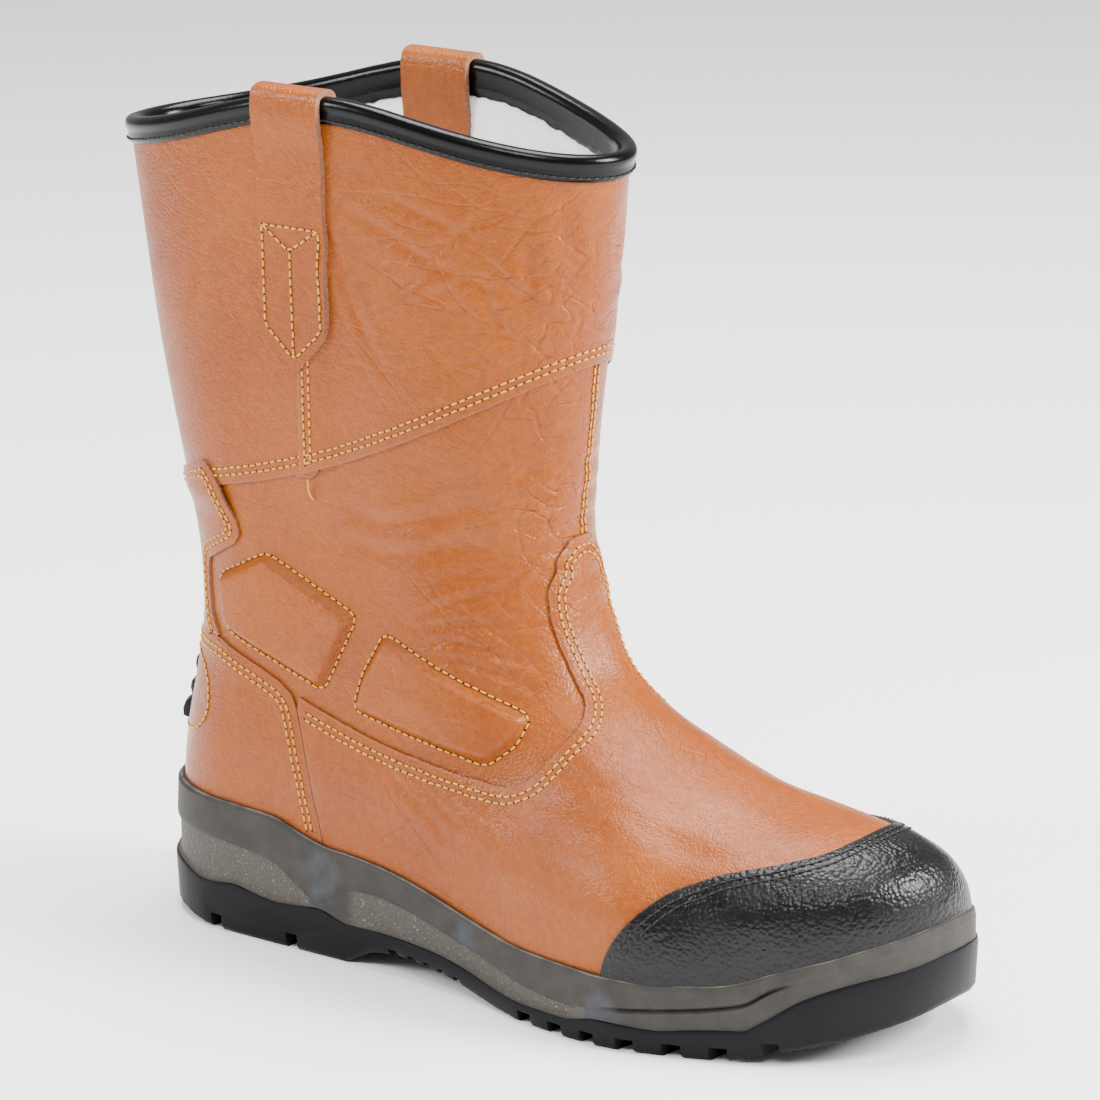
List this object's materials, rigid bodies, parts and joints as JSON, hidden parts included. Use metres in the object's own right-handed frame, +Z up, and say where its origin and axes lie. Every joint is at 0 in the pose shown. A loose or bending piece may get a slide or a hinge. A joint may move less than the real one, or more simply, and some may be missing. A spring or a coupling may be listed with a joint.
{
  "type": "rigger boot",
  "caption": "Pull-on leather rigger boot for the right foot with a hollow shaft, padded ankle, scuff cap, heel kick, two pull loops and a lugged sole.",
  "frame": {"origin": "middle of the part's box at floor level", "axes": "+X from heel to toe, +Y to the medial side, +Z up from the floor"},
  "size_m": [0.3234, 0.1168, 0.2923],
  "materials": {
    "tan_leather": "fine grain, semi gloss",
    "scuff_leather": "coarse grain",
    "outsole_rubber": "matt",
    "midsole_foam": "matt polyurethane",
    "insole_board": "felt",
    "binding": "glossy coated tape"
  },
  "bodies": {
    "root": {"outsole": "outsole_rubber", "midsole": "midsole_foam", "insole": "insole_board", "upper": "tan_leather", "vamp": "tan_leather", "counter": "tan_leather", "back_stay": "tan_leather", "toe_cap": "scuff_leather", "ankle_pad_rear_outer": "tan_leather", "ankle_pad_rear_inner": "tan_leather", "ankle_pad_front_outer": "tan_leather", "ankle_pad_front_inner": "tan_leather", "heel_kick": "outsole_rubber", "collar_binding": "binding", "pull_loop_outer": "tan_leather", "pull_loop_inner": "tan_leather"}
  },
  "joints": []
}
